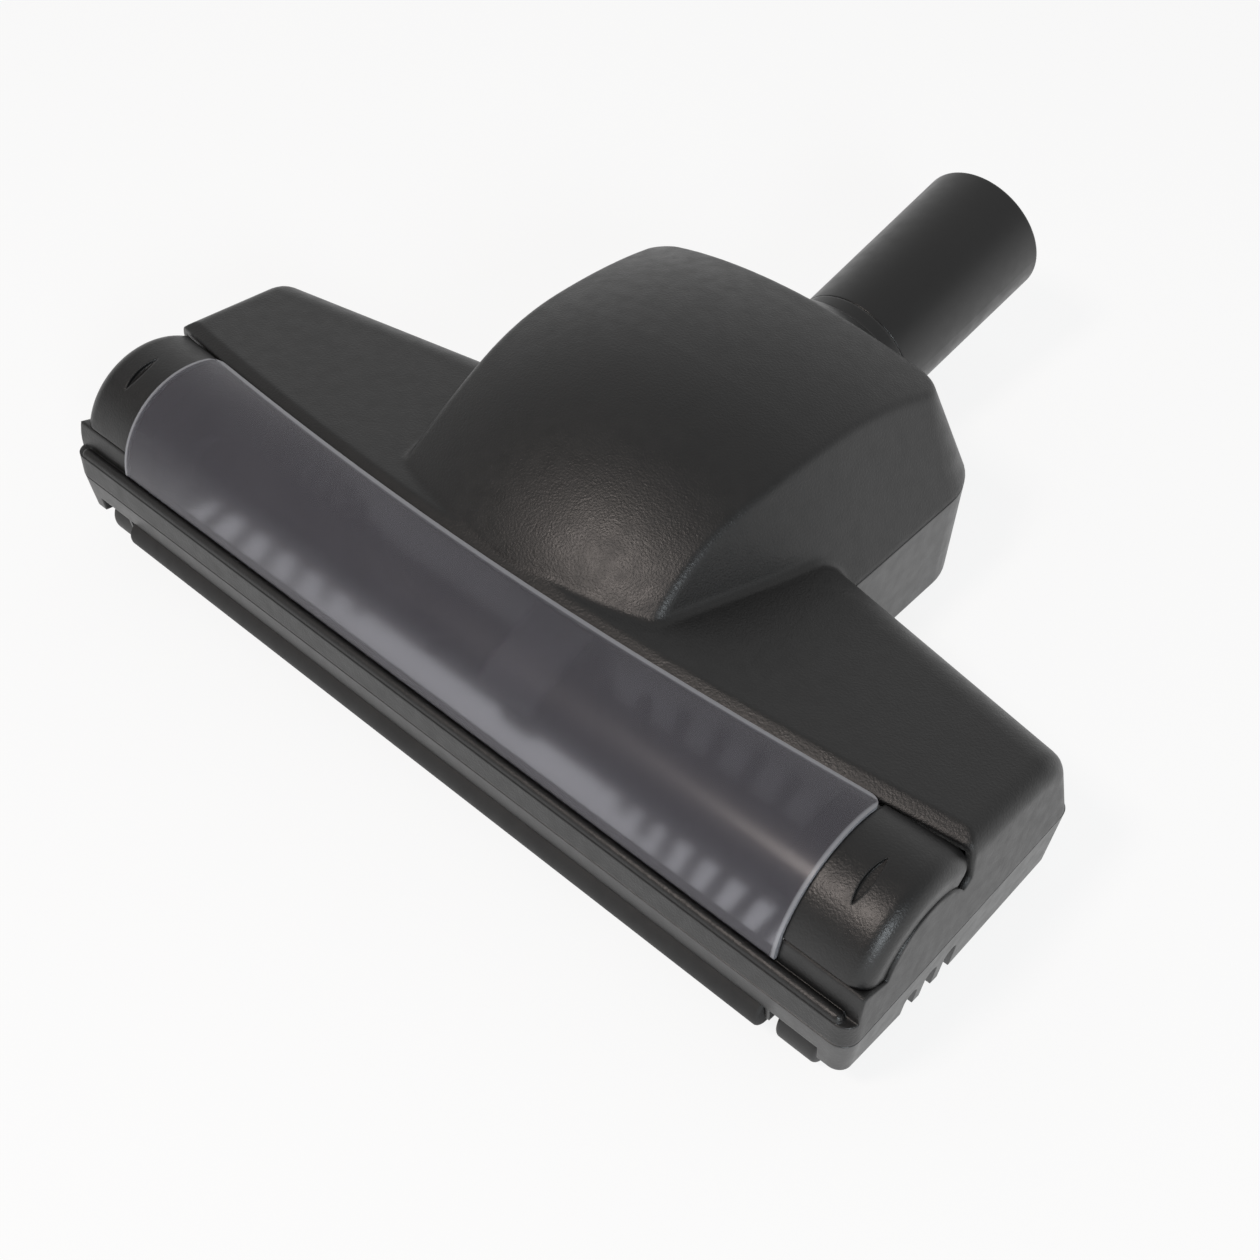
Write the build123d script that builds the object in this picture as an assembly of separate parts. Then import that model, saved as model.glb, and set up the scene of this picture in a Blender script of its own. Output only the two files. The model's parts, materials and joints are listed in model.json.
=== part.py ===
"""Air-driven floor brush head for a vacuum cleaner.

Built around the head's own frame: X across the head, Y from the front lip to the neck,
Z up from the floor. Pieces are drawn with y = 0 on the front face and shifted at export
so that the origin lies on the floor under the middle of the whole head.
"""
from build123d import *
from math import cos, radians, sin, sqrt, tan
import os

os.makedirs("parts", exist_ok=True)

# Head and its two housing halves, in millimetres
HEAD_W = 270.0            # width over the wings
WALL = 2.2                # moulded wall
PART_Z = 22.0             # parting line along the wings
HUMP_PART_Z = 33.5        # parting line around the hump
SOLE_Z = 2.0              # underside of the sole
LIP_Z = 10.5              # lower edge of the front lip
LIP_END_Y = 44.0          # where the sole's front slope reaches the sole
END_DEPTH = 86.0          # rear wall of a wing at its outer end
SWEEP = 0.2               # rear wall's advance towards the middle, per mm
REAR_LEAN = 17.0          # degrees the rear wall leans forward
SIDE_DRAFT = 3.0          # degrees of draft on the end walls
BASE_DRAFT = 5.0          # degrees of draft on the base's outer walls
LEDGE_Z = 28.8            # top of the front ledge
LEDGE_D = 8.0             # depth of the ledge block
TOP_Y = 42.0              # wing's front corner, in depth
TOP_Z = 51.0              # height of the wing's top there
TOP_FALL = 6.5            # degrees the wing's top falls to the rear
BEVEL = 3.5               # width of the bevel along the cover's rear seam
BEVEL_DROP = 2.2
REAR_ROUND = 12.0         # rounding of the wing's rear top edge
END_ROUND = 5.5           # rounding of the wing's end edges
CORNER_ROUND = 4.5        # plan rounding of the head's corners
PARTING_W = 0.5           # groove along the parting lines
PARTING_D = 0.8
BEAD_R = 1.6              # bead along the ledge
BEAD_Y = 2.2
BEAD_END = 5.0            # bead's end short of the wing's end

# Cleaning cover over the brush
COVER_Y = 27.0            # axis of the cover's arc
COVER_Z = 29.0
COVER_R = 23.4            # outside of the end caps
CAP_REAR = 50.0           # degrees, rear end of the cover's sweep before the seam trims it
CAP_FRONT = 160.0         # degrees, front seam of the end caps
COVER_ROOM = 15.0         # degrees of room behind the cover's sweep
COVER_LIFT = 8.0          # room over the cover
WINDOW_FRONT = 174.0      # degrees, lower edge of the window, where it hinges
WINDOW_PROUD = 1.0        # window stands proud of the caps
WINDOW_T = 2.0
WINDOW_CORNER = 3.5       # rounding of the window's rear corners
WINDOW_W = HEAD_W - 44.6
CAP_T = 2.2
CAP_SIDE_R = 15.5         # lower seam of a cap's side wall
CAP_END_GAP = 1.4         # cap's end set back from the wing's end
CAP_GAP_DEG = 0.8         # degrees of front seam under each end cap
CAP_ROUND = 5.0
TAB_W = 8.0               # cap's tab under the window
TAB_FROM = 68.0           # degrees, so that it closes the window's rear corner
TAB_TO = 140.0
SEAM_Y = 31.8             # rear seam at the middle of the head
SEAM_R = 950.0            # plan radius of the rear seam
SEAM_GAP = 0.7
COVER_GAP = 0.4
NOTCH_X = HEAD_W / 2 - 12.8    # finger notch in each cap
NOTCH_ANGLE = 107.7
NOTCH_L = 12.4
NOTCH_W = 2.4
NOTCH_D = 1.3

# Hump over the turbine
HUMP_APEX_Y = 100.0
HUMP_APEX_Z = 76.5
HUMP_FRONT_R = 96.0       # side profile ahead of the apex
HUMP_BACK_R = 170.0       # side profile behind the apex
CROWN_R = 145.0           # crown across the hump
HUMP_FRONT_Y = 28.0
HUMP_FRONT_W = 94.0       # width over the hump at its front, on the parting line
HUMP_W = 122.0            # full width, on the parting line
HUMP_FLARE_Y = 88.0       # where the sides reach the full width
HUMP_REAR_Y = 162.0
HUMP_LEAN = 23.0          # degrees the hump's walls lean inwards
HUMP_CORNER = 20.0
HUMP_FLARE_R = 150.0      # plan radius where the sides turn parallel
HUMP_ROUND = 3.4          # rounding of the hump's crest
FOOT_ROUND = 2.5          # hollow rounding where the hump's sides meet the wings
FOOT_REACH = 5.0          # how far that rounding goes round the hump's front corners
TUB_FRONT_Y = 92.0        # base's tub under the hump starts here
TUB_DRAFT = 2.0           # degrees of draft on the tub
CREST_FRONT = 15.0        # crest edges start this far behind the hump's front

# Brush roller
BRUSH_Y = 29.6
BRUSH_Z = 19.7
BRUSH_R = 19.4            # over the bristles
CORE_R = 9.5
CORE_L = HEAD_W - 54
TUFT_R = 2.1
TUFT_SEAT = 3.0           # depth of a tuft's hole
TUFT_PITCH = 9.0
TUFT_TURN = 13.0          # degrees between neighbouring tufts
AXLE_R = 2.5
RUN = 0.06                # running clearance of a shaft in its bush
SEAT = 0.1                # clearance of a fixed piece in its seat
BUSH_R = 6.5
BUSH_FLANGE_T = 1.5
BUSH_LIP = 2.0            # flange over the bush
MOUTH_W = HEAD_W - 48     # suction mouth in the sole
MOUTH_FRONT_Y = 9.6
MOUTH_REAR_Y = 50.4
BRUSH_AXLE_L = MOUTH_W + 8

# Belt drive and turbine
BELT_X = 19.0
BELT_W = 7.0
BELT_T = 1.6
BELT_GAP = 0.3
PULLEY_LAND = 10.0        # plain stretch of the core under the belt
TURBINE_Y = 78.0
TURBINE_Z = 42.0
TURBINE_R = 22.0
TURBINE_HUB_R = 7.0
TURBINE_L = 44.0
TURBINE_X = -16.0
BLADES = 12
BLADE_T = 1.4
TURBINE_PULLEY_R = 5.5
PULLEY_FLANGE = 1.6
CRADLE_T = 4.0
CRADLE_W = 18.0
CRADLE_X = (-43.0, 28.0)
TURBINE_BUSH_R = 5.0
BELT_SLOT_W = 10.0        # belt's slot through the chamber's rear wall
BELT_SLOT_Z = 46.0
NOZZLE_Z = 28.0           # air nozzle onto the turbine
NOZZLE_H = 14.0
GUARD_T = 1.8
GUARD_W = 17.0
GUARD_END = 140.0         # degrees, front end of the guard
GUARD_GAP = 4.7           # guard's clearance off the pulleys

# Neck
NECK_Y = 146.0            # tilt axis
NECK_Z = 23.5
NECK_TILT = 9.5           # degrees above the floor, at rest
NECK_W = 48.0             # width of the elbow
SHIELD_R = 36.0           # ball that closes the rear opening
SHIELD_FROM = -28.0       # degrees from the neck's axis
SHIELD_TO = 83.0
DRUM_R = 18.8             # lower drum of the elbow
DRUM_FROM = 200.0
STUB_R = 20.1             # outside at the swivel seam
STUB_BORE = 15.5
STUB_FROM = 10.0          # stub leaves the drum here, clear of the tub's floor
STUB_END = SHIELD_R - 1.6     # swivel seam, from the tilt axis
NECK_END = 98.5           # mouth, from the tilt axis
TUBE_MOUTH_R = 21.0
SOCKET_R = 17.55          # bore for the wand
SOCKET_L = 46.0
SHOULDER_R = 16.0         # stop for the wand
SPIGOT_R = 17.3
SPIGOT_L = 11.0
SWIVEL_GAP = 0.15
TRUNNION_R = 4.0
TRUNNION_L = 6.0
BRACKET_T = 5.0
BRACKET_GAP = 0.8
EYE_R = 8.0
NECK_GAP = 0.8

# Wheels and rollers
WHEEL_R = 10.0
WHEEL_W = 9.0
WHEEL_X = 46.0
WHEEL_Y = 134.0
WHEEL_PIN_R = 2.0
ROLLER_R = 7.0
ROLLER_W = 11.0
ROLLER_X = HEAD_W / 2 - 14
ROLLER_Y = 8.8
ROLLER_PIN_R = 1.6
ROLLER_PIN_X0 = ROLLER_X - 8
ROLLER_PIN_X1 = ROLLER_X + 9
WHEEL_GAP = 1.0
WHEEL_PIN_L = WHEEL_W + 2 * (WHEEL_GAP + WALL)
RIM_ROUND = 1.2           # rounding of the rims

# Soft strip, side notches, screws
STRIP_R = 4.6
STRIP_Y = 3.05
STRIP_Z = 10.5
STRIP_L = HEAD_W - 44
SIDE_NOTCH_YS = (26.0, 33.5, 41.0)
SIDE_NOTCH_W = 4.6
SIDE_NOTCH_Z = 13.0
SKID_Y = 61.0
SKID_L = 18.0
SKID_W = 5.0
SKID_X = HEAD_W / 2 - 7
SKID_Z = 0.6
SCREW_X = (HEAD_W / 4 - 1.5, HEAD_W / 2 - 15)
SCREW_Y = (84.0, 72.0)
SCREW_R = 1.5
SCREW_HEAD_R = 3.0
SCREW_HEAD_T = 2.0
SCREW_SEAT_Z = 6.0        # a screw head's seat in the base
SCREW_L = 14.0
BOSS_R = 4.5

# Worked out from the values above
BIG = 400.0
TOUCH = 0.001             # two faces closer than this meet
HINGE_Y = COVER_Y + (COVER_R + WINDOW_PROUD - WINDOW_T / 2) * cos(radians(WINDOW_FRONT))
HINGE_Z = COVER_Z + (COVER_R + WINDOW_PROUD - WINDOW_T / 2) * sin(radians(WINDOW_FRONT))
HALF_W = HEAD_W / 2
NECK_DIR = (0, cos(radians(NECK_TILT)), sin(radians(NECK_TILT)))
REAR_END = NECK_Y + NECK_END * NECK_DIR[1] + TUBE_MOUTH_R * NECK_DIR[2]
FRONT_END = STRIP_Y - STRIP_R
SHIFT = Pos(0, -(REAR_END + FRONT_END) / 2, 0)



def slab(x0, x1, y0, y1, z0, z1):
    """Box between two corners."""
    return Pos((x0 + x1) / 2, (y0 + y1) / 2, (z0 + z1) / 2) * Box(x1 - x0, y1 - y0, z1 - z0)


def rod(x0, x1, y, z, r):
    """Round bar along X."""
    return Pos((x0 + x1) / 2, y, z) * Rot(0, 90, 0) * Cylinder(r, x1 - x0)


def both(piece):
    """A piece and its mirror image across the head's middle."""
    return piece + mirror(piece, Plane.YZ)


def radial_plane(y, z, angle):
    """Plane through an X axis at (y, z): local x along X, local y outwards at the angle."""
    a = radians(angle)
    return Plane(origin=(0, y, z), x_dir=(1, 0, 0), z_dir=(0, -sin(a), cos(a)))


def sector(sketch, y, z, start, end):
    """Turn an (x, radius) outline about the X axis at (y, z), from one angle to another."""
    placed = radial_plane(y, z, start) * sketch
    return revolve(placed, Axis((0, y, z), (1, 0, 0)), end - start)


def span(x0, x1, r0, r1):
    """Rectangle in (x, radius)."""
    return Pos((x0 + x1) / 2, (r0 + r1) / 2) * Rectangle(x1 - x0, r1 - r0)


def ring_span(x0, x1, y, z, start, end, r0, r1):
    """Part of a ring about the X axis at (y, z)."""
    return sector(span(x0, x1, r0, r1), y, z, start, end)


def prism(points, z, height, taper, corner=0):
    """Plan outline drawn at one height, extruded up or down with drafted walls and rounded outer corners."""
    outline = make_face(Polyline(*points, close=True))
    if corner:
        ends = [v for v in outline.vertices() if abs(v.X) > max(x for x, y in points) - 1]
        outline = fillet(ends, corner)
    up = 1 if height > 0 else -1
    return extrude(Pos(0, 0, z) * outline, abs(height), dir=(0, 0, up), taper=taper)


# Outer forms of the housing


def seam_block(offset_y):
    """Everything behind the cover's rear seam, which is an arc in plan."""
    return Pos(0, SEAM_Y + SEAM_R + offset_y, 0) * Cylinder(SEAM_R, BIG)


def seam_bevel(inset):
    """What the bevel along the cover's rear seam takes off the wings' top."""
    fall = radians(TOP_FALL)
    top = TOP_Z + tan(fall) * (TOP_Y - SEAM_Y) - inset
    face = Plane(origin=(0, SEAM_Y, top), x_dir=(1, 0, 0), z_dir=(0, sin(fall), cos(fall)))
    rim = SEAM_R - SEAM_GAP
    kept = Cone(rim, rim - 2 * BEVEL, 2 * BEVEL_DROP)
    return face * (Pos(0, SEAM_R, 0) * (Cylinder(SEAM_R + LEDGE_D, 2 * BEVEL_DROP) - kept))


def wing_form(inset):
    """Wings above the parting line, with the cover's arc filled in."""
    ledge = Pos(LEDGE_D / 2 + inset, LEDGE_Z / 2 - inset) * Rectangle(LEDGE_D, LEDGE_Z)
    arc = Pos(COVER_Y, COVER_Z) * Circle(COVER_R - inset)
    rear = END_DEPTH + SWEEP * BIG
    fall = tan(radians(TOP_FALL))
    top = make_face(Polyline(
        (COVER_Y, 0), (COVER_Y, TOP_Z - inset + fall * (TOP_Y - COVER_Y)),
        (rear, TOP_Z - inset - fall * (rear - TOP_Y)), (rear, 0), close=True))
    body = extrude(Plane.YZ * (ledge + arc + top), HALF_W + 1, both=True)
    back = END_DEPTH - inset + SWEEP * HALF_W
    body &= prism([(-BIG, -BIG), (BIG, -BIG), (BIG, back - SWEEP * BIG), (0, back),
                   (-BIG, back - SWEEP * BIG)], PART_Z, BIG / 4, REAR_LEAN)
    side = HALF_W - inset
    body &= prism([(-side, inset), (side, inset), (side, BIG), (-side, BIG)], PART_Z, BIG / 4, SIDE_DRAFT,
                  CORNER_ROUND - inset)
    rear_top = [e for e in body.edges() if e.center().Y > TOP_Y + 20 and e.center().Z > HUMP_PART_Z
                and e.length > HALF_W / 2 and abs(e.center().X) > 1]
    body = fillet(rear_top, REAR_ROUND - inset)
    ends = [e for e in body.edges() if abs(e.center().X) > HALF_W - 10 and e.center().Y > TOP_Y
            and e.center().Z > PART_Z + 1]
    return fillet(ends, END_ROUND - inset) - seam_bevel(inset)


def hump_outline(inset):
    """Plan outline of the hump on its parting line."""
    front, back = HUMP_FRONT_W / 2 - inset, HUMP_W / 2 - inset
    right = [(front, HUMP_FRONT_Y), (back, HUMP_FLARE_Y), (back, HUMP_REAR_Y - inset)]
    left = [(-x, y) for x, y in reversed(right)]
    outline = make_face(Polyline(*right, *left, close=True))
    outline = fillet(outline.vertices().sort_by(Axis.Y)[-2:], HUMP_CORNER - inset)
    flare = [v for v in outline.vertices() if abs(v.Y - HUMP_FLARE_Y) < 1]
    return fillet(flare, HUMP_FLARE_R - inset)


def hump_form(inset):
    """Crowned hump above its parting line."""
    floor = 1.0

    def arc_z(radius, y):
        return HUMP_APEX_Z - radius + sqrt((radius - inset) ** 2 - (y - HUMP_APEX_Y) ** 2)
    front, back = HUMP_FRONT_Y - 2, HUMP_REAR_Y + 10
    mid_front, mid_back = (front + HUMP_APEX_Y) / 2, (back + HUMP_APEX_Y) / 2
    apex = (HUMP_APEX_Y, HUMP_APEX_Z - inset)
    front_top = (front, arc_z(HUMP_FRONT_R, front))
    back_top = (back, arc_z(HUMP_BACK_R, back))
    profile = make_face([
        ThreePointArc(front_top, (mid_front, arc_z(HUMP_FRONT_R, mid_front)), apex),
        ThreePointArc(apex, (mid_back, arc_z(HUMP_BACK_R, mid_back)), back_top),
        Polyline(back_top, (back, floor), (front, floor), front_top)])
    axis = Axis((0, 0, HUMP_APEX_Z - CROWN_R), (0, 1, 0))
    half_turn = 45
    crown = (Plane.YZ * profile).rotate(axis, -half_turn)
    crown = revolve(crown, axis, 2 * half_turn)
    walls = extrude(Pos(0, 0, HUMP_PART_Z) * hump_outline(inset),
                    HUMP_APEX_Z - HUMP_PART_Z + 1, taper=HUMP_LEAN)
    body = crown & walls
    crest = [e for e in body.edges() if e.geom_type == GeomType.BSPLINE and e.center().Z > TOP_Z
             and e.center().Y > HUMP_FRONT_Y + CREST_FRONT]
    return fillet(crest, HUMP_ROUND - inset / 2)


def housing_form():
    """Wings and hump in one, with a soft foot along the hump's sides."""
    wings, hump = wing_form(0), hump_form(0)
    body = wings + hump
    foot = []
    for edge in body.edges():
        middle = edge @ 0.5
        spot = Vertex(middle.X, middle.Y, middle.Z)
        beside = abs(middle.X) > HUMP_FRONT_W / 2 - FOOT_REACH and middle.Z > HUMP_PART_Z + 1
        if beside and max(wings.distance_to(spot), hump.distance_to(spot)) < TOUCH:
            foot.append(edge)
    return fillet(foot, FOOT_ROUND)


# Upper housing


def tub_block(inset, front):
    """Base's tub under the hump, up to the hump's parting line."""
    depth = HUMP_PART_Z - SOLE_Z - inset
    tub = extrude(Pos(0, 0, HUMP_PART_Z) * hump_outline(inset), depth, dir=(0, 0, -1), taper=TUB_DRAFT)
    return tub & slab(-BIG, BIG, front, BIG, -BIG, BIG)


def cover_space():
    """Room for the cleaning cover in the housing."""
    reach = HALF_W + 2
    top = COVER_R + COVER_LIFT
    caps = ring_span(-reach, reach, COVER_Y, COVER_Z, CAP_REAR - COVER_ROOM, CAP_FRONT + CAP_GAP_DEG,
                     CAP_SIDE_R - COVER_GAP, top)
    half = WINDOW_W / 2 + COVER_GAP
    window = ring_span(-half, half, COVER_Y, COVER_Z, CAP_FRONT - COVER_ROOM, WINDOW_FRONT, CAP_SIDE_R, top)
    groove = rod(-half, half, HINGE_Y, HINGE_Z, WINDOW_T / 2 + COVER_GAP)
    return (caps - seam_block(SEAM_GAP)) + window + groove


def upper_housing():
    """Upper shell with the wings, the hump, the ledge and the inner walls."""
    outer = housing_form()
    shell = outer - (wing_form(WALL) + hump_form(WALL))
    shell += slab(-MOUTH_W / 2, MOUTH_W / 2, MOUTH_REAR_Y, MOUTH_REAR_Y + WALL, PART_Z, BIG / 4) & outer
    for x, y in zip(SCREW_X, SCREW_Y):
        boss = Pos(x, y, PART_Z + BIG / 8) * Cylinder(BOSS_R, BIG / 4)
        hole = Pos(x, y, PART_Z + SCREW_L / 2) * Cylinder(SCREW_R + SEAT, SCREW_L)
        shell = shell + both(boss & outer) - both(hole)
    shell -= cover_space()
    shell -= tub_block(0, TUB_FRONT_Y)
    opening = NECK_W / 2 + NECK_GAP
    shell -= neck_ball(SHIELD_R + NECK_GAP) & slab(-opening, opening, NECK_Y, BIG, 0, BIG)
    shell -= slab(BELT_X - BELT_SLOT_W / 2, BELT_X + BELT_SLOT_W / 2, MOUTH_REAR_Y - 1,
                  MOUTH_REAR_Y + WALL + 1, PART_Z - 1, BELT_SLOT_Z)
    shell -= slab(TURBINE_X - TURBINE_L / 2, TURBINE_X + TURBINE_L / 2, MOUTH_REAR_Y - 1,
                  MOUTH_REAR_Y + WALL + 1, NOZZLE_Z, NOZZLE_Z + NOZZLE_H)
    shell -= both(rod(MOUTH_W / 2 - 5, MOUTH_W / 2 + 5, BRUSH_Y, BRUSH_Z, BUSH_R + SEAT))
    end = HALF_W - BEAD_END
    bead = rod(-end, end, BEAD_Y, LEDGE_Z, BEAD_R) + both(Pos(end, BEAD_Y, LEDGE_Z) * Sphere(BEAD_R))
    return shell + bead


# Base


def base_outline(inset):
    """Plan outline of the base on the wings' parting line."""
    side, back = HALF_W - inset, END_DEPTH - inset
    return [(-side, inset), (side, inset), (side, back), (0, back + SWEEP * HALF_W), (-side, back)]


def parting_groove():
    """Groove under the upper housing's rim, around the wings and the tub."""
    depth = CORNER_ROUND - PARTING_D
    level = slab(-BIG, BIG, -BIG, BIG, PART_Z - PARTING_W, PART_Z)
    groove = level - prism(base_outline(PARTING_D), PART_Z, -2 * PARTING_W, BASE_DRAFT, depth)
    groove -= tub_block(0, TUB_FRONT_Y)
    top = HUMP_PART_Z - PARTING_W
    ring = hump_outline(0) - hump_outline(PARTING_D)
    return groove + extrude(Pos(0, 0, top) * ring, 2 * PARTING_W)


def roller_pocket():
    """Right front roller's pocket, open to the front and below."""
    half = ROLLER_W / 2 + WHEEL_GAP
    return slab(ROLLER_X - half, ROLLER_X + half, -1, ROLLER_Y + ROLLER_R + WHEEL_GAP,
                -1, 2 * ROLLER_R + WHEEL_GAP)


def wheel_well():
    """Right rear wheel's well, open below."""
    half = WHEEL_W / 2 + WHEEL_GAP
    reach = WHEEL_R + WHEEL_GAP
    well = rod(WHEEL_X - half, WHEEL_X + half, WHEEL_Y, WHEEL_R, reach)
    return well + slab(WHEEL_X - half, WHEEL_X + half, WHEEL_Y - reach, WHEEL_Y + reach, -1, WHEEL_R)


def side_notches():
    """Suction notches in the right end wall."""
    cuts = []
    for y in SIDE_NOTCH_YS:
        r = SIDE_NOTCH_W / 2
        cuts.append(slab(HALF_W - 6, HALF_W + 1, y - r, y + r, -1, SIDE_NOTCH_Z - r))
        cuts.append(rod(HALF_W - 6, HALF_W + 1, y, SIDE_NOTCH_Z - r, r))
    return Part() + cuts


def cradle(x):
    """Plate that carries a turbine bush."""
    plate = slab(x - CRADLE_T / 2, x + CRADLE_T / 2, TURBINE_Y - CRADLE_W / 2, TURBINE_Y + CRADLE_W / 2,
                 SOLE_Z, TURBINE_Z)
    plate += rod(x - CRADLE_T / 2, x + CRADLE_T / 2, TURBINE_Y, TURBINE_Z, CRADLE_W / 2)
    return plate - rod(x - CRADLE_T, x + CRADLE_T, TURBINE_Y, TURBINE_Z, TURBINE_BUSH_R + SEAT)


def neck_bracket():
    """Right eye that carries the neck's trunnion."""
    x0 = NECK_W / 2 + BRACKET_GAP
    eye = slab(x0, x0 + BRACKET_T, NECK_Y - EYE_R, NECK_Y + EYE_R, SOLE_Z, NECK_Z)
    eye += rod(x0, x0 + BRACKET_T, NECK_Y, NECK_Z, EYE_R)
    return eye - rod(x0 - 1, x0 + BRACKET_T + 1, NECK_Y, NECK_Z, TRUNNION_R + RUN)


def base_plate():
    """Lower shell with the sole, the mouth, the tub under the hump and the bearings' seats."""
    depth = PART_Z - SOLE_Z
    lip = prism(base_outline(0), PART_Z, -depth, BASE_DRAFT, CORNER_ROUND)
    hollow = prism(base_outline(WALL), PART_Z, WALL - depth, BASE_DRAFT, CORNER_ROUND - WALL)
    shell = lip + tub_block(0, TUB_FRONT_Y) - (hollow + tub_block(WALL, TUB_FRONT_Y - WALL))
    shell += lip & slab(-HALF_W, HALF_W, -1, MOUTH_FRONT_Y, 0, PART_Z)
    pocket_x = MOUTH_W / 2 + WALL
    shell += lip & both(slab(pocket_x, HALF_W, -1, ROLLER_Y + ROLLER_R + WHEEL_GAP + WALL, 0, PART_Z))
    shell += both(slab(MOUTH_W / 2, pocket_x, 1, MOUTH_REAR_Y + WALL, SOLE_Z, PART_Z))
    shell += both(slab(MOUTH_W / 2, pocket_x, 0, MOUTH_REAR_Y, PART_Z - 1, BIG / 4)
                  & rod(0, HALF_W, COVER_Y, COVER_Z, CAP_SIDE_R - 2 * COVER_GAP))
    shell += slab(-pocket_x, pocket_x, MOUTH_REAR_Y, MOUTH_REAR_Y + WALL, SOLE_Z, PART_Z)
    reach = WHEEL_R + WHEEL_GAP + WALL
    half = WHEEL_W / 2 + WHEEL_GAP + WALL
    shell += both(slab(WHEEL_X - half, WHEEL_X + half, WHEEL_Y - reach, WHEEL_Y + reach,
                       SOLE_Z, 2 * WHEEL_R + WHEEL_GAP + WALL))
    for x in CRADLE_X:
        shell += cradle(x)
    shell += both(neck_bracket())
    shell += both(slab(SKID_X - SKID_W / 2, SKID_X + SKID_W / 2, SKID_Y - SKID_L / 2, SKID_Y + SKID_L / 2,
                       SKID_Z, SOLE_Z + WALL))
    shell -= parting_groove()
    for x, y in zip(SCREW_X, SCREW_Y):
        boss = Pos(x, y, (SOLE_Z + PART_Z) / 2) * Cylinder(BOSS_R, depth)
        hole = Pos(x, y, PART_Z / 2) * Cylinder(SCREW_R + SEAT, PART_Z + 2)
        sink = Pos(x, y, SCREW_SEAT_Z / 2) * Cylinder(SCREW_HEAD_R + SEAT, SCREW_SEAT_Z)
        shell = shell + both(boss) - both(hole + sink)
    shell -= slab(-MOUTH_W / 2, MOUTH_W / 2, MOUTH_FRONT_Y, MOUTH_REAR_Y, -1, PART_Z + 1)
    slope = make_face(Polyline((-5, -5), (-5, LIP_Z), (0, LIP_Z), (LIP_END_Y, SOLE_Z), (LIP_END_Y, -5),
                               close=True))
    shell -= extrude(Plane.YZ * slope, HALF_W + 1, both=True)
    shell -= rod(-STRIP_L / 2 - COVER_GAP, STRIP_L / 2 + COVER_GAP, STRIP_Y, STRIP_Z, STRIP_R + COVER_GAP)
    shell -= both(roller_pocket() + wheel_well() + side_notches())
    shell -= both(rod(ROLLER_PIN_X0, ROLLER_PIN_X1, ROLLER_Y, ROLLER_R, ROLLER_PIN_R + SEAT))
    shell -= both(rod(WHEEL_X - half - 1, WHEEL_X + half + 1, WHEEL_Y, WHEEL_R, WHEEL_PIN_R + SEAT))
    shell -= both(rod(MOUTH_W / 2 - 5, MOUTH_W / 2 + 5, BRUSH_Y, BRUSH_Z, BUSH_R + SEAT))
    shell -= slab(BELT_X - BELT_SLOT_W / 2, BELT_X + BELT_SLOT_W / 2, MOUTH_REAR_Y - 1,
                  MOUTH_REAR_Y + WALL + 1, SOLE_Z + 2 * WALL, PART_Z + 1)
    opening = NECK_W / 2 + NECK_GAP
    shell -= slab(-opening, opening, HUMP_REAR_Y - 3 * WALL, HUMP_REAR_Y + 5, SOLE_Z + WALL, HUMP_PART_Z + 1)
    return shell


# Cleaning cover


def cover_cap():
    """Right end cap of the cover, with its side wall, tab and finger notch."""
    x0, x1 = WINDOW_W / 2 + SEAT, HALF_W - CAP_END_GAP
    outline = make_face(Polyline(
        (x0, COVER_R - CAP_T), (x0, COVER_R), (x1, COVER_R), (x1, CAP_SIDE_R),
        (x1 - CAP_T, CAP_SIDE_R), (x1 - CAP_T, COVER_R - CAP_T), close=True))
    corner = outline.vertices().sort_by_distance((x1, COVER_R))[0]
    outline = fillet(corner, CAP_ROUND)
    inner = outline.vertices().sort_by_distance((x1 - CAP_T, COVER_R - CAP_T))[0]
    outline = fillet(inner, CAP_ROUND - CAP_T)
    cap = sector(outline, COVER_Y, COVER_Z, CAP_REAR, CAP_FRONT) - seam_block(0)
    tab_r = COVER_R + WINDOW_PROUD - WINDOW_T - SEAT
    tab = ring_span(x0 - TAB_W, x0 + CAP_T, COVER_Y, COVER_Z, TAB_FROM, TAB_TO, tab_r - CAP_T, tab_r)
    face = radial_plane(COVER_Y, COVER_Z, NOTCH_ANGLE)
    normal = Vector(0, cos(radians(NOTCH_ANGLE)), sin(radians(NOTCH_ANGLE)))
    seat = Plane(origin=face.origin + Vector(NOTCH_X, 0, 0) + normal * (COVER_R - NOTCH_D),
                 x_dir=(1, 0, 0), z_dir=normal)
    half_l, half_w = NOTCH_L / 2, NOTCH_W / 2
    lens = make_face([ThreePointArc((0, -half_l), (half_w, 0), (0, half_l)),
                      ThreePointArc((0, half_l), (-half_w, 0), (0, -half_l))])
    return cap + tab - extrude(seat * lens, 3 * NOTCH_D)


def cover_window():
    """Curved window with its rounded hinge edge and rear corners."""
    half = WINDOW_W / 2
    r1 = COVER_R + WINDOW_PROUD
    pane = ring_span(-half, half, COVER_Y, COVER_Z, CAP_REAR, WINDOW_FRONT, r1 - WINDOW_T, r1)
    pane += rod(-half, half, HINGE_Y, HINGE_Z, WINDOW_T / 2)
    pane -= seam_block(0)
    corners = [e for e in pane.edges().filter_by(Axis.Z) if e.center().Y > COVER_Y]
    return fillet(corners, WINDOW_CORNER)


# Brush roller


def tuft_places():
    """Position along the core and angle of every tuft: opposed helices from the ends to the belt."""
    places = []
    for side, start in ((-1, -CORE_L / 2), (1, CORE_L / 2)):
        limit = BELT_X + side * (PULLEY_LAND + TUFT_R)
        count = int(abs(limit - start) / TUFT_PITCH)
        for i in range(count):
            x = start - side * TUFT_PITCH * (i + 0.5)
            for row in (0, 180):
                places.append((x, row + TUFT_TURN * i))
    return places


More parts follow.
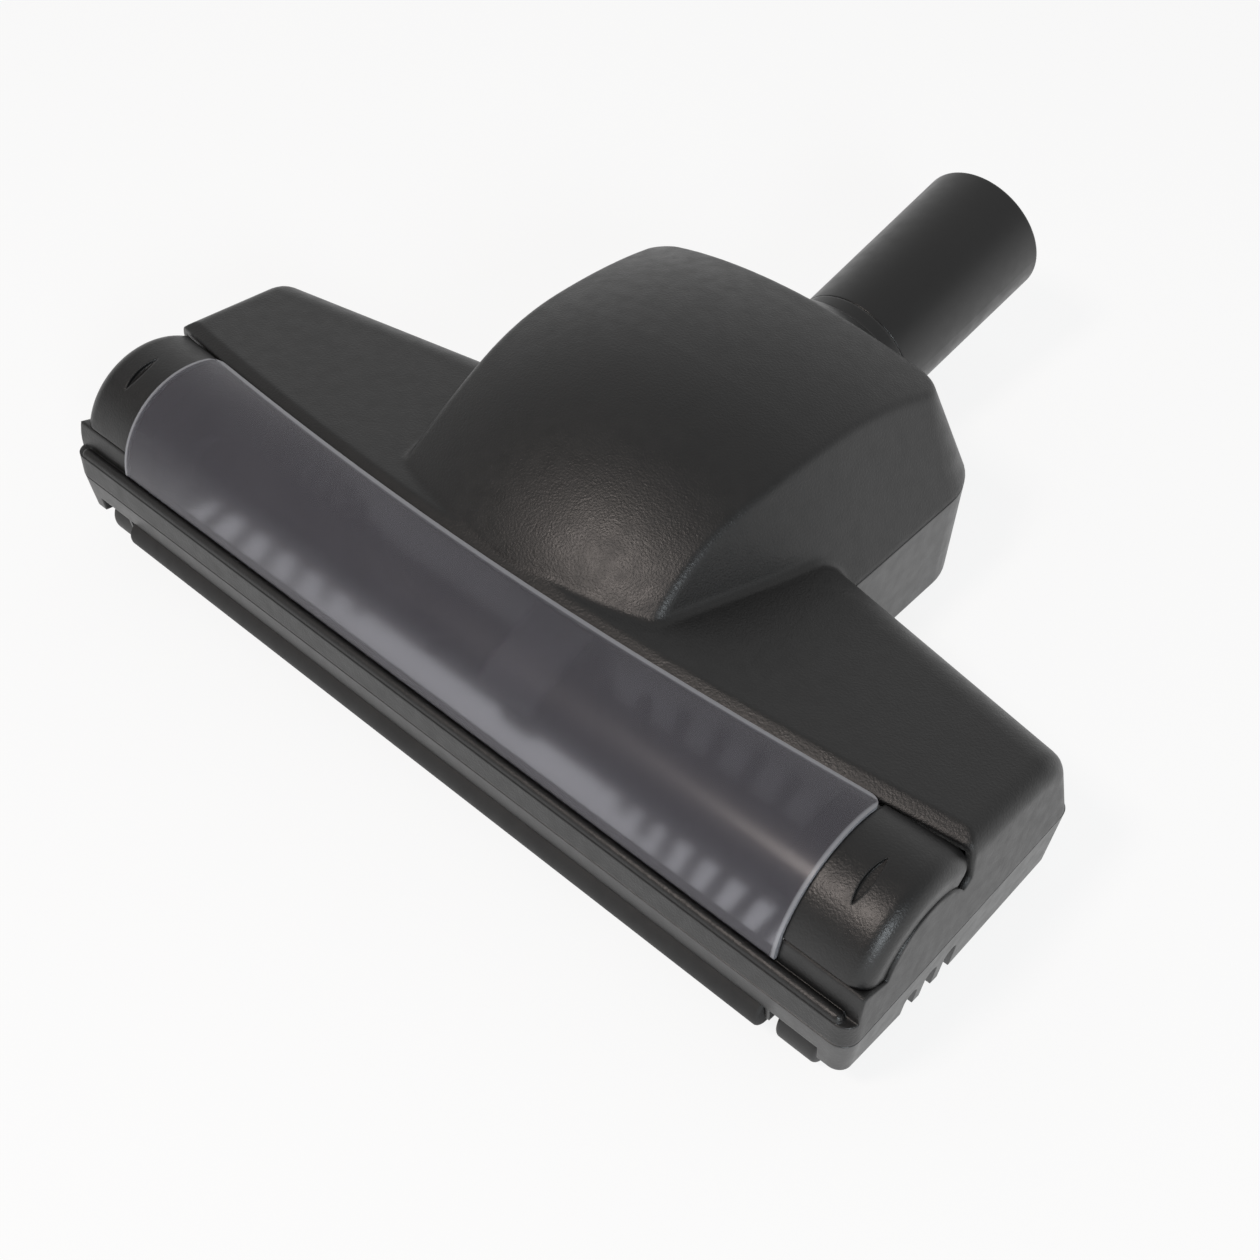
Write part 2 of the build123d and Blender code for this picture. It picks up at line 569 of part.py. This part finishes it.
def tuft(x, angle, r0, r1, radius):
    """Round bar standing out from the brush axis."""
    a = radians(angle)
    out = Vector(0, cos(a), sin(a))
    base = Plane(origin=Vector(x, BRUSH_Y, BRUSH_Z) + out * r0, x_dir=(1, 0, 0), z_dir=out)
    return extrude(base * Circle(radius), r1 - r0)


def brush_core():
    """Roller with holes for the tufts and a plain land under the belt."""
    core = rod(-CORE_L / 2, CORE_L / 2, BRUSH_Y, BRUSH_Z, CORE_R)
    core -= rod(-CORE_L, CORE_L, BRUSH_Y, BRUSH_Z, AXLE_R)
    holes = [tuft(x, a, CORE_R - TUFT_SEAT, CORE_R + 1, TUFT_R + SEAT) for x, a in tuft_places()]
    return core - holes


def brush_tufts():
    """All tufts of the roller."""
    return Compound(children=[tuft(x, a, CORE_R - TUFT_SEAT, BRUSH_R, TUFT_R) for x, a in tuft_places()])


def bush(x, y, z, radius, bore, length, inward):
    """Flanged bush along X, its flange on the inward side of the wall."""
    body = rod(x - length / 2, x + length / 2, y, z, radius)
    edge = x + inward * length / 2
    flange = sorted((edge, edge + inward * BUSH_FLANGE_T))
    body += rod(*flange, y, z, radius + BUSH_LIP)
    return body - rod(x - BIG, x + BIG, y, z, bore)


# Belt drive and turbine


def loop(brush_r, turbine_r):
    """Tight band outline around the brush pulley and the turbine pulley."""
    circles = [Pos(BRUSH_Y, BRUSH_Z) * Circle(brush_r), Pos(TURBINE_Y, TURBINE_Z) * Circle(turbine_r)]
    return make_hull([edge for circle in circles for edge in circle.edges()])


def band(inner, thickness, width):
    """Band around both pulleys, a distance off their rims."""
    ring = loop(CORE_R + inner + thickness, TURBINE_PULLEY_R + inner + thickness)
    ring -= loop(CORE_R + inner, TURBINE_PULLEY_R + inner)
    return extrude(Pos(BELT_X, 0, 0) * (Plane.YZ * ring), width / 2, both=True)


def belt_guard():
    """Roof over the belt inside the brush chamber, seated on the rear wall."""
    roof = band(GUARD_GAP, GUARD_T, GUARD_W)
    low = BRUSH_Z + (CORE_R + GUARD_GAP) * sin(radians(GUARD_END))
    return roof & slab(-BIG, BIG, 0, MOUTH_REAR_Y, low, BIG)


def turbine_wheel():
    """Hub with curved blades between two end discs."""
    x0, x1 = TURBINE_X - TURBINE_L / 2, TURBINE_X + TURBINE_L / 2
    wheel = rod(x0, x1, TURBINE_Y, TURBINE_Z, TURBINE_HUB_R)
    wheel += rod(x0, x0 + BLADE_T, TURBINE_Y, TURBINE_Z, TURBINE_R)
    wheel += rod(x1 - BLADE_T, x1, TURBINE_Y, TURBINE_Z, TURBINE_R)
    r0, r1 = TURBINE_HUB_R - 1, TURBINE_R - BLADE_T
    bow = (r1 - r0) / 4
    line = ThreePointArc((r0, 0), ((r0 + r1) / 2, bow), (r1, 0))
    back = ThreePointArc((r1, BLADE_T), ((r0 + r1) / 2, bow + BLADE_T), (r0, BLADE_T))
    outline = make_face([line, Line((r1, 0), (r1, BLADE_T)), back, Line((r0, BLADE_T), (r0, 0))])
    for i in range(BLADES):
        turned = Pos(TURBINE_Y, TURBINE_Z) * Rot(0, 0, 360 * i / BLADES) * outline
        wheel += extrude(Pos(x0, 0, 0) * (Plane.YZ * turned), TURBINE_L)
    return wheel - rod(x0 - 1, x1 + 1, TURBINE_Y, TURBINE_Z, AXLE_R)


def turbine_pulley():
    """Flanged pulley on the turbine's axle."""
    half = BELT_W / 2 + BELT_GAP
    pulley = rod(BELT_X - half, BELT_X + half, TURBINE_Y, TURBINE_Z, TURBINE_PULLEY_R)
    for side in (-1, 1):
        ends = sorted((BELT_X + side * half, BELT_X + side * (half + PULLEY_FLANGE)))
        pulley += rod(*ends, TURBINE_Y, TURBINE_Z, TURBINE_PULLEY_R + BELT_GAP + BELT_T)
    return pulley - rod(-BIG, BIG, TURBINE_Y, TURBINE_Z, AXLE_R)


# Neck


def along_neck(start, end, r):
    """Cylinder along the level neck, measured from the tilt axis."""
    return Pos(0, NECK_Y + (start + end) / 2, NECK_Z) * Rot(-90, 0, 0) * Cylinder(r, end - start)


def neck_ball(r):
    """Ball about the middle of the tilt axis."""
    return Pos(0, NECK_Y, NECK_Z) * Sphere(r)


def tilted(piece):
    """A piece drawn level, turned to the neck's rest angle."""
    return piece.rotate(Axis((0, NECK_Y, NECK_Z), (1, 0, 0)), NECK_TILT)


def neck_elbow():
    """Tilting elbow: hollow ball with side cheeks, stub with the swivel's spigot, trunnions."""
    half = NECK_W / 2
    inner = half - WALL
    ball = ring_span(-half, half, NECK_Y, NECK_Z, SHIELD_FROM, SHIELD_TO, 0, SHIELD_R) & neck_ball(SHIELD_R)
    elbow = ball & slab(-half, half, 0, NECK_Y + STUB_END, -BIG, BIG)
    elbow += rod(-half, half, NECK_Y, NECK_Z, DRUM_R) + along_neck(STUB_FROM, STUB_END, STUB_R)
    hollow = ring_span(-inner, inner, NECK_Y, NECK_Z, SHIELD_FROM, DRUM_FROM, 0, SHIELD_R)
    elbow -= hollow & neck_ball(SHIELD_R - WALL)
    elbow -= rod(-inner, inner, NECK_Y, NECK_Z, DRUM_R - WALL)
    elbow += along_neck(STUB_END - 1, STUB_END + SPIGOT_L, SPIGOT_R)
    elbow -= along_neck(0, STUB_END + SPIGOT_L + 1, STUB_BORE)
    elbow += both(rod(half - 1, half + TRUNNION_L, NECK_Y, NECK_Z, TRUNNION_R))
    return tilted(elbow)


def neck_tube():
    """Swivelling tube with the wand's socket."""
    start = STUB_END + SWIVEL_GAP
    stop = STUB_END + SPIGOT_L + SWIVEL_GAP * 3
    socket = NECK_END - SOCKET_L
    bore = SPIGOT_R + RUN
    outline = make_face(Polyline(
        (bore, start), (STUB_R, start), (TUBE_MOUTH_R, NECK_END), (SOCKET_R, NECK_END), (SOCKET_R, socket),
        (SHOULDER_R, socket), (SHOULDER_R, stop), (bore, stop), close=True))
    plane = Plane(origin=(0, NECK_Y, NECK_Z), x_dir=(1, 0, 0), z_dir=(0, 0, 1))
    tube = revolve(plane * outline, Axis((0, NECK_Y, NECK_Z), (0, 1, 0)), 360)
    return tilted(tube)


# Running gear, strip and fasteners


def roller(x, y, r, width, pin_r):
    """Wheel along X that stands on the floor, with rounded rims and a bore for its pin."""
    wheel = rod(x - width / 2, x + width / 2, y, r, r)
    wheel = fillet(wheel.edges().filter_by(GeomType.CIRCLE), RIM_ROUND)
    return wheel - rod(x - width, x + width, y, r, pin_r + RUN)


def bumper_strip():
    """Soft round strip along the front lip."""
    strip = rod(-STRIP_L / 2, STRIP_L / 2, STRIP_Y, STRIP_Z, STRIP_R)
    return fillet(strip.edges().filter_by(GeomType.CIRCLE), STRIP_R / 4)


def housing_screws():
    """Screws that close the housing from below."""
    screws = []
    for x, y in zip(SCREW_X, SCREW_Y):
        head = Pos(x, y, SCREW_SEAT_Z - SCREW_HEAD_T / 2) * Cylinder(SCREW_HEAD_R, SCREW_HEAD_T)
        shank = Pos(x, y, SCREW_SEAT_Z + (PART_Z - SCREW_SEAT_Z + SCREW_L) / 2 - 1)
        shank *= Cylinder(SCREW_R, PART_Z - SCREW_SEAT_Z + SCREW_L - 2)
        screw = head + shank
        screws += [screw, mirror(screw, Plane.YZ)]
    return Compound(children=screws)


def pieces():
    """Every piece of the head by name."""
    bush_x = MOUTH_W / 2 + WALL / 2
    cradle_ends = CRADLE_X[0] - CRADLE_T / 2, CRADLE_X[1] + CRADLE_T / 2
    wheel_pin = WHEEL_X - WHEEL_PIN_L / 2, WHEEL_X + WHEEL_PIN_L / 2
    nodes = {
        "upper_housing": upper_housing(),
        "base_plate": base_plate(),
        "cover_window": cover_window(),
        "brush_core": brush_core(),
        "brush_bristles": brush_tufts(),
        "brush_axle": rod(-BRUSH_AXLE_L / 2, BRUSH_AXLE_L / 2, BRUSH_Y, BRUSH_Z, AXLE_R),
        "belt_guard": belt_guard(),
        "drive_belt": band(BELT_GAP, BELT_T, BELT_W),
        "turbine_wheel": turbine_wheel(),
        "turbine_pulley": turbine_pulley(),
        "turbine_axle": rod(*cradle_ends, TURBINE_Y, TURBINE_Z, AXLE_R),
        "neck_elbow": neck_elbow(),
        "neck_tube": neck_tube(),
        "bumper_strip": bumper_strip(),
        "housing_screws": housing_screws(),
    }
    for side, x, inward in (("left", CRADLE_X[0], 1), ("right", CRADLE_X[1], -1)):
        carrier = bush(x, TURBINE_Y, TURBINE_Z, TURBINE_BUSH_R, AXLE_R + RUN, CRADLE_T, inward)
        nodes[f"turbine_bush_{side}"] = carrier
    right = {
        "cover_cap": cover_cap(),
        "brush_bush": bush(bush_x, BRUSH_Y, BRUSH_Z, BUSH_R, AXLE_R + RUN, WALL, -1),
        "front_roller": roller(ROLLER_X, ROLLER_Y, ROLLER_R, ROLLER_W, ROLLER_PIN_R),
        "front_roller_pin": rod(ROLLER_PIN_X0, ROLLER_PIN_X1, ROLLER_Y, ROLLER_R, ROLLER_PIN_R),
        "rear_wheel": roller(WHEEL_X, WHEEL_Y, WHEEL_R, WHEEL_W, WHEEL_PIN_R),
        "rear_wheel_pin": rod(*wheel_pin, WHEEL_Y, WHEEL_R, WHEEL_PIN_R),
    }
    for name, piece in right.items():
        nodes[f"{name}_right"] = piece
        nodes[f"{name}_left"] = mirror(piece, Plane.YZ)
    return nodes


for name, piece in pieces().items():
    export_step(SHIFT * piece, f"parts/{name}.step")
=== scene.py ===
"""Vacuum floor brush head: finishes, bristles, studio and camera."""
import json
import math
import random

import bpy
from mathutils import Matrix, Vector


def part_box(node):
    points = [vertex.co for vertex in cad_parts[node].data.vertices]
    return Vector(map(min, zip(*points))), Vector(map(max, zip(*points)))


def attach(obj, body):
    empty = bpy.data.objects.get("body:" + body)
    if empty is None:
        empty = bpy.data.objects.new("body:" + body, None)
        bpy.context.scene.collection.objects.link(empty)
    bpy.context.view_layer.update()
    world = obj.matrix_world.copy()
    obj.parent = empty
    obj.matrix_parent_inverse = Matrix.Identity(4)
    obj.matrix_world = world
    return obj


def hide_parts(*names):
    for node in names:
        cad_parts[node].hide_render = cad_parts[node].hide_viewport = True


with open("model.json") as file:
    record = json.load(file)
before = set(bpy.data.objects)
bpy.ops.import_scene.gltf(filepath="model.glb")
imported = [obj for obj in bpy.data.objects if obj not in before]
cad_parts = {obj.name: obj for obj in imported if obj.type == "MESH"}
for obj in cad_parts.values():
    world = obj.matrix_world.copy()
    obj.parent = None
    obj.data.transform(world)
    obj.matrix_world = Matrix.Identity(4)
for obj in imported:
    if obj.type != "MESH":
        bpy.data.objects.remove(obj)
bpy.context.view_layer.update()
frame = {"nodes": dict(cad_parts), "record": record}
nodes = frame["nodes"]


# Materials

# Moulded plastic: slow change of tone, patches of gloss, softened edges
CLOUD_SCALE, CLOUD_DETAIL = 45.0, 3.0
PATCH_SCALE, PATCH_SPREAD = 260.0, 0.04
GRAIN_MIX = 0.6
EDGE_R, TOP_EDGE_R = 0.0008, 0.002
TOP_FROM, TOP_FULL = 0.030, 0.038      # heights between which the housing's edges turn from crisp to soft
EDGE_SAMPLES = 8
PLASTIC_IOR, PLASTIC_GLOSS = 1.5, 0.65

# Steel: fine lines round the turned pieces
LINE_SCALE = (40.0, 2500.0, 2500.0)
LINE_DETAIL, LINE_MIX, LINE_DARK = 3.0, 0.6, 0.85
LINE_SMOOTHER, LINE_ROUGHER = 0.06, 0.08

MIDDLE = 0.3, 0.7                      # part of a noise that carries its change

# Window
SEAM_R = 0.950                         # plan radius of the cover's rear seam
RIM_HIGHLIGHT_FROM, RIM_HIGHLIGHT_FULL = 0.0012, 0.0006    # distances from the window's edge over which the painted rim highlight fades in
# Painted highlight: the paler milk colour given to the window's rim
RIM_HIGHLIGHT_COLOUR = (0.42, 0.43, 0.46, 1.0)
CLEAR_COLOUR = (0.37, 0.37, 0.40, 1.0)
CLEAR_SHEEN = (0.35, 0.35, 0.35, 1.0)  # share of the clear plastic's own reflection
CLEAR_BLUR, CLEAR_IOR = 0.21, 1.45
MILK_DARK, MILK_LIGHT = (0.180, 0.175, 0.205, 1.0), (0.215, 0.210, 0.240, 1.0)
MILK_ROUGHNESS, HAZE_SCALE = 0.40, 60.0
# share of the milky body, and its larger share where the painted rim highlight lies
MILK_SHARE, RIM_HIGHLIGHT_SHARE = 0.28, 0.6


class Shader:
    """A small builder for the nodes of a material or of the world."""

    def __init__(self, owner, output="ShaderNodeOutputMaterial"):
        self.owner = owner
        owner.use_nodes = True
        self.tree = owner.node_tree
        self.tree.nodes.clear()
        self.out = self.node(output)

    def node(self, kind, inputs=None, **settings):
        made = self.tree.nodes.new(kind)
        for key, value in settings.items():
            setattr(made, key, value)
        for key, value in (inputs or {}).items():
            self.feed(made.inputs[key], value)
        return made

    def feed(self, socket, value):
        if isinstance(value, bpy.types.NodeSocket):
            self.tree.links.new(value, socket)
        else:
            socket.default_value = value

    def coords(self, kind="Object"):
        return self.node("ShaderNodeTexCoord").outputs[kind]

    def split(self, vector):
        return self.node("ShaderNodeSeparateXYZ", {"Vector": vector}).outputs

    def noise(self, scale, detail=2.0, roughness=0.5, vector=None):
        made = self.node("ShaderNodeTexNoise", {"Vector": vector or self.coords(), "Scale": scale,
                                                "Detail": detail, "Roughness": roughness})
        return made.outputs["Fac"]

    def ramp(self, fac, low, high, start, end):
        made = self.node("ShaderNodeMapRange", {"Value": fac, "From Min": low, "From Max": high,
                                                "To Min": start, "To Max": end})
        return made.outputs["Result"]

    def calc(self, operation, *values):
        return self.node("ShaderNodeMath", dict(enumerate(values)), operation=operation).outputs[0]

    def mix(self, fac, a, b):
        return self.node("ShaderNodeMix", {0: fac, 6: a, 7: b}, data_type="RGBA").outputs[2]

    def blend(self, share, first, second):
        return self.node("ShaderNodeMixShader", {0: share, 1: first, 2: second}).outputs[0]

    def principled(self, **inputs):
        return self.node("ShaderNodeBsdfPrincipled", inputs).outputs["BSDF"]

    def finish(self, surface):
        self.feed(self.out.inputs["Surface"], surface)
        return self.owner


def material(name):
    return Shader(bpy.data.materials.new(name))


def grey(value):
    return (value, value, value, 1.0)


def moulded(name, dark, light, rough, grain, depth, gloss=PLASTIC_GLOSS, top_edge=None):
    """Moulded plastic: fine grain in the surface, softened edges, slight tone change."""
    sh = material(name)
    cloud = sh.noise(CLOUD_SCALE, CLOUD_DETAIL)
    fine = sh.noise(grain, roughness=GRAIN_MIX)
    colour = sh.mix(cloud, grey(dark), grey(light))
    reach = EDGE_R
    if top_edge:
        reach = sh.ramp(sh.split(sh.coords())["Z"], TOP_FROM, TOP_FULL, EDGE_R, top_edge)
    soft = sh.node("ShaderNodeBevel", {"Radius": reach}, samples=EDGE_SAMPLES).outputs["Normal"]
    normal = sh.node("ShaderNodeBump", {"Height": fine, "Distance": depth, "Strength": 1.0, "Normal": soft})
    roughness = sh.ramp(sh.noise(PATCH_SCALE), *MIDDLE, rough - PATCH_SPREAD, rough + PATCH_SPREAD)
    return sh.finish(sh.principled(**{"Base Color": colour, "Roughness": roughness,
                                      "Normal": normal.outputs["Normal"], "IOR": PLASTIC_IOR,
                                      "Specular IOR Level": gloss}))


def metal(name, value, rough):
    """Steel with fine lines across the pieces' length."""
    sh = material(name)
    streak = sh.node("ShaderNodeMapping", {"Vector": sh.coords(), "Scale": LINE_SCALE})
    lines = sh.noise(1.0, LINE_DETAIL, LINE_MIX, streak.outputs["Vector"])
    colour = sh.mix(lines, grey(value * LINE_DARK), grey(value))
    roughness = sh.ramp(lines, *MIDDLE, rough - LINE_SMOOTHER, rough + LINE_ROUGHER)
    return sh.finish(sh.principled(**{"Base Color": colour, "Metallic": 1.0, "Roughness": roughness}))


def smoked_window(name):
    """Frosted clear plastic with a faint milky body, and a painted highlight that makes it paler along its
    two ends and its rear edge.
    """
    _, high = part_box("cover_window")
    centre_y = high.y + math.sqrt(SEAM_R ** 2 - high.x ** 2)
    sh = material(name)
    parts = sh.split(sh.coords())
    plan = sh.node("ShaderNodeCombineXYZ", {"X": parts["X"], "Y": parts["Y"]}).outputs[0]
    from_centre = sh.node("ShaderNodeVectorMath", {0: plan, 1: (0.0, centre_y, 0.0)}, operation="DISTANCE")
    reach = sh.calc("ABSOLUTE", parts["X"])
    # Painted highlight: a pale band along the window's two ends and its rear edge
    end_highlight = sh.ramp(reach, high.x - RIM_HIGHLIGHT_FROM, high.x - RIM_HIGHLIGHT_FULL, 0.0, 1.0)
    rear_highlight = sh.ramp(from_centre.outputs["Value"], SEAM_R + RIM_HIGHLIGHT_FROM, SEAM_R + RIM_HIGHLIGHT_FULL, 0.0, 1.0)
    rim_highlight = sh.calc("MAXIMUM", end_highlight, rear_highlight)
    clear = sh.principled(**{"Base Color": CLEAR_COLOUR, "Transmission Weight": 1.0,
                             "Roughness": CLEAR_BLUR, "IOR": CLEAR_IOR, "Specular Tint": CLEAR_SHEEN})
    # The milk's colour turns to the painted highlight colour along the rim
    milk_colour = sh.mix(rim_highlight, sh.mix(sh.noise(HAZE_SCALE), MILK_DARK, MILK_LIGHT), RIM_HIGHLIGHT_COLOUR)
    milk = sh.principled(**{"Base Color": milk_colour, "Roughness": MILK_ROUGHNESS, "IOR": CLEAR_IOR})
    return sh.finish(sh.blend(sh.ramp(rim_highlight, 0.0, 1.0, MILK_SHARE, RIM_HIGHLIGHT_SHARE), clear, milk))


# Moulded: darkest and lightest tone, roughness, scale and depth of the grain
finishes = {
    "housing_black": moulded("housing_grain", 0.005, 0.007, 0.42, 1600.0, 0.00010, top_edge=TOP_EDGE_R),
    "cap_black": moulded("cap_grain", 0.005, 0.007, 0.40, 1600.0, 0.00009),
    "window_smoke": smoked_window("window_frost"),
    "brush_plastic": moulded("brush_core_plastic", 0.03, 0.04, 0.60, 1500.0, 0.00001, gloss=0.4),
    "bristle_black": moulded("bristle", 0.012, 0.02, 0.5, 1500.0, 0.00001),
    "shaft_steel": metal("ground_steel", 0.55, 0.3),
    "bush_pale": moulded("bush_plastic", 0.5, 0.56, 0.5, 1500.0, 0.000008),
    "belt_rubber": moulded("belt_rubber", 0.012, 0.016, 0.75, 1800.0, 0.00003),
    "guard_grey": moulded("guard_plastic", 0.60, 0.66, 0.45, 1500.0, 0.00001),
    "turbine_grey": moulded("turbine_plastic", 0.4, 0.45, 0.45, 1500.0, 0.00001),
    "tube_black": moulded("tube_satin", 0.005, 0.007, 0.38, 3200.0, 0.000010),
    "wheel_black": moulded("wheel_plastic", 0.010, 0.014, 0.55, 1800.0, 0.00002),
    "strip_rubber": moulded("strip_rubber", 0.008, 0.011, 0.7, 1500.0, 0.00004),
    "screw_steel": metal("plated_steel", 0.5, 0.35),
}

# The base is a lighter black than the housing above it
node_finishes = {"base_plate": moulded("base_grain", 0.020, 0.025, 0.42, 1600.0, 0.00006, gloss=1.0)}
slots = {entry["node"]: entry["material_slot"] for entry in frame["record"]["subparts"]}
for name, obj in nodes.items():
    obj.data.materials.clear()
    obj.data.materials.append(node_finishes.get(name, finishes[slots[name]]))

# Slivers between the housing's faces count little in its shading
for name in ("upper_housing", "base_plate"):
    even = nodes[name].modifiers.new("even_normals", "WEIGHTED_NORMAL")
    even.mode = "FACE_AREA"
    even.weight = 100


# Bristles: each tuft of the roller as a bundle of fine filaments, on the tufts' own places

TUFT_R, TUFT_PITCH, TUFT_TURN = 0.0021, 0.009, math.radians(13.0)
TUFT_ROWS = 0.0, math.pi
BELT_LAND = 0.010
FILAMENTS, FILAMENT_R, FILAMENT_SIDES = 40, 0.00019, 4
ROOT_DEPTH, ROOT_SHARE = 0.001, 0.8    # roots lie in the core, closer together than the tips
TIP_SHORT, TIP_SHARE = (0.0001, 0.0008), 0.7
TURN_SPREAD, SEED = 0.2, 7

core_low, core_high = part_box("brush_core")
core_half, core_r = core_high.x, (core_high.z - core_low.z) / 2
core_y, core_z = (core_low.y + core_high.y) / 2, (core_low.z + core_high.z) / 2
belt_x = sum(corner.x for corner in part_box("drive_belt")) / 2
tuft_low, tuft_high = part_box("brush_bristles")
brush_r = max(tuft_high.y - core_y, core_y - tuft_low.y, tuft_high.z - core_z, core_z - tuft_low.z)


def tuft_places():
    """Place along the core and angle of every tuft: opposed helices from the ends to the belt."""
    places = []
    for side in (-1, 1):
        room = abs(belt_x + side * (BELT_LAND + TUFT_R) - side * core_half)
        for i in range(int(room / TUFT_PITCH)):
            x = side * (core_half - TUFT_PITCH * (i + 0.5))
            places += [(x, row + TUFT_TURN * i) for row in TUFT_ROWS]
    return places


def bristles():
    """One mesh of tapered filaments, packed in sunflower order inside each tuft's circle."""
    dice = random.Random(SEED)
    golden = math.pi * (3 - math.sqrt(5))
    sides = range(FILAMENT_SIDES)
    points, faces = [], []
    for x, angle in tuft_places():
        out = Vector((0.0, math.cos(angle), math.sin(angle)))
        along, across = Vector((1.0, 0.0, 0.0)), Vector((0.0, -out.z, out.y))
        centre = Vector((x, core_y, core_z))
        for i in range(FILAMENTS):
            spot = math.sqrt((i + 0.5) / FILAMENTS) * (TUFT_R - FILAMENT_R)
            turn = i * golden + dice.uniform(-TURN_SPREAD, TURN_SPREAD)
            lean = along * math.cos(turn) + across * math.sin(turn)
            root = centre + out * (core_r - ROOT_DEPTH) + lean * spot * ROOT_SHARE
            tip = centre + out * (brush_r - dice.uniform(*TIP_SHORT)) + lean * spot
            first = len(points)
            for end, r in ((root, FILAMENT_R), (tip, FILAMENT_R * TIP_SHARE)):
                for k in sides:
                    a = 2 * math.pi * k / FILAMENT_SIDES
                    points.append(end + (along * math.cos(a) + across * math.sin(a)) * r)
            low_ring = [first + k for k in sides]
            high_ring = [first + FILAMENT_SIDES + k for k in sides]
            for k in sides:
                after = (k + 1) % FILAMENT_SIDES
                faces.append((low_ring[k], low_ring[after], high_ring[after], high_ring[k]))
            faces.append(high_ring)
    mesh = bpy.data.meshes.new("bristle_filaments")
    mesh.from_pydata(points, [], faces)
    mesh.materials.append(finishes["bristle_black"])
    obj = bpy.data.objects.new("bristle_filaments", mesh)
    bpy.context.scene.collection.objects.link(obj)
    return obj


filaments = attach(bristles(), "brush")
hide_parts("brush_bristles")


# Studio

# A pale band all round the horizon, and above it a dome that is darkest in front of the head
BAND, BAND_FULL, BAND_END = 0.75, 0.24, 0.40
LOW, LOW_Z, ZENITH, ZENITH_Z = 0.85, 0.05, 0.45, 0.9
FRONT_SHARE, FRONT_Y, REAR_Y = 0.10, -0.7, 0.4
RIGHT_SHARE, MIDDLE_X, RIGHT_X = 0.5, 0.2, 0.9

FLOOR_SIZE, FLOOR_ROUGHNESS, PAPER_SCALE = 12.0, 0.9, 3.0
PAPER_DARK, PAPER_LIGHT = 0.96, 0.98
WHITE_SHARE = 0.85                     # how far the floor is plain white where it is seen

LAMP_TARGET = Vector((0.0, 0.0, 0.03))
LAMPS = (                              # name, place, side, power, colour
    ("front", (-0.19, -0.80, 1.13), 0.25, 6.0, (1.0, 0.89, 0.83)),
    ("right", (1.18, -0.80, 0.72), 0.35, 9.0, (0.88, 0.95, 1.0)),
)

world = bpy.data.worlds.new("studio")
bpy.context.scene.world = world
sh = Shader(world, "ShaderNodeOutputWorld")
way = sh.split(sh.coords("Generated"))
strength = sh.ramp(way["Z"], LOW_Z, ZENITH_Z, LOW, ZENITH)
for share in (sh.ramp(way["Y"], FRONT_Y, REAR_Y, FRONT_SHARE, 1.0),
              sh.ramp(way["X"], MIDDLE_X, RIGHT_X, 1.0, RIGHT_SHARE)):
    strength = sh.calc("MULTIPLY", strength, share)
above = sh.ramp(way["Z"], BAND_FULL, BAND_END, 0.0, 1.0)
strength = sh.node("ShaderNodeMix", {"Factor": above, "A": BAND, "B": strength}).outputs[0]
sh.finish(sh.node("ShaderNodeBackground", {"Color": grey(1.0), "Strength": strength}).outputs[0])

bpy.ops.mesh.primitive_plane_add(size=FLOOR_SIZE, location=(0.0, 0.0, 0.0))
floor = bpy.context.object
floor.name = "studio_floor"
sh = material("floor_paper")
tone = sh.mix(sh.noise(PAPER_SCALE), grey(PAPER_DARK), grey(PAPER_LIGHT))
paper = sh.principled(**{"Base Color": tone, "Roughness": FLOOR_ROUGHNESS})
white = sh.node("ShaderNodeEmission", {"Strength": 1.0}).outputs[0]
rays = sh.node("ShaderNodeLightPath").outputs
seen = rays["Is Camera Ray"]
for kind in ("Is Glossy Ray", "Is Transmission Ray"):
    seen = sh.calc("MAXIMUM", seen, rays[kind])
floor.data.materials.append(sh.finish(sh.blend(sh.ramp(seen, 0.0, 1.0, 0.0, WHITE_SHARE), paper, white)))

for name, place, side, power, colour in LAMPS:
    light = bpy.data.lights.new(name, "AREA")
    light.shape = "RECTANGLE"
    light.size = light.size_y = side
    light.energy = power
    light.color = colour
    lamp = bpy.data.objects.new(name, light)
    bpy.context.scene.collection.objects.link(lamp)
    lamp.location = place
    lamp.rotation_mode = "QUATERNION"
    lamp.rotation_quaternion = (LAMP_TARGET - Vector(place)).to_track_quat("-Z", "Y")


# Camera at the photograph's place

AZIMUTH, ELEVATION, ROLL = math.radians(42.421), math.radians(47.138), math.radians(-0.233)
FOCAL_PX, FRAME_PX, SENSOR_MM = 1634.06, 1260.0, 36.0
CAMERA_AT = (0.213126, -0.273569, 0.327584)
CLIP_START = 0.01

back = Vector((math.sin(AZIMUTH) * math.cos(ELEVATION), -math.cos(AZIMUTH) * math.cos(ELEVATION),
               math.sin(ELEVATION)))
aside = (-back).cross(Vector((0.0, 0.0, 1.0))).normalized()
over = aside.cross(-back)
right = aside * math.cos(ROLL) + over * math.sin(ROLL)
up = over * math.cos(ROLL) - aside * math.sin(ROLL)
lens = bpy.data.cameras.new("photo_camera")
lens.sensor_fit = "HORIZONTAL"
lens.sensor_width = SENSOR_MM
lens.lens = FOCAL_PX / FRAME_PX * SENSOR_MM
lens.clip_start = CLIP_START
camera = bpy.data.objects.new("photo_camera", lens)
bpy.context.scene.collection.objects.link(camera)
camera.matrix_world = Matrix.Translation(CAMERA_AT) @ Matrix((right, up, back)).transposed().to_4x4()
bpy.context.scene.camera = camera

bpy.context.scene.view_settings.view_transform = "Standard"
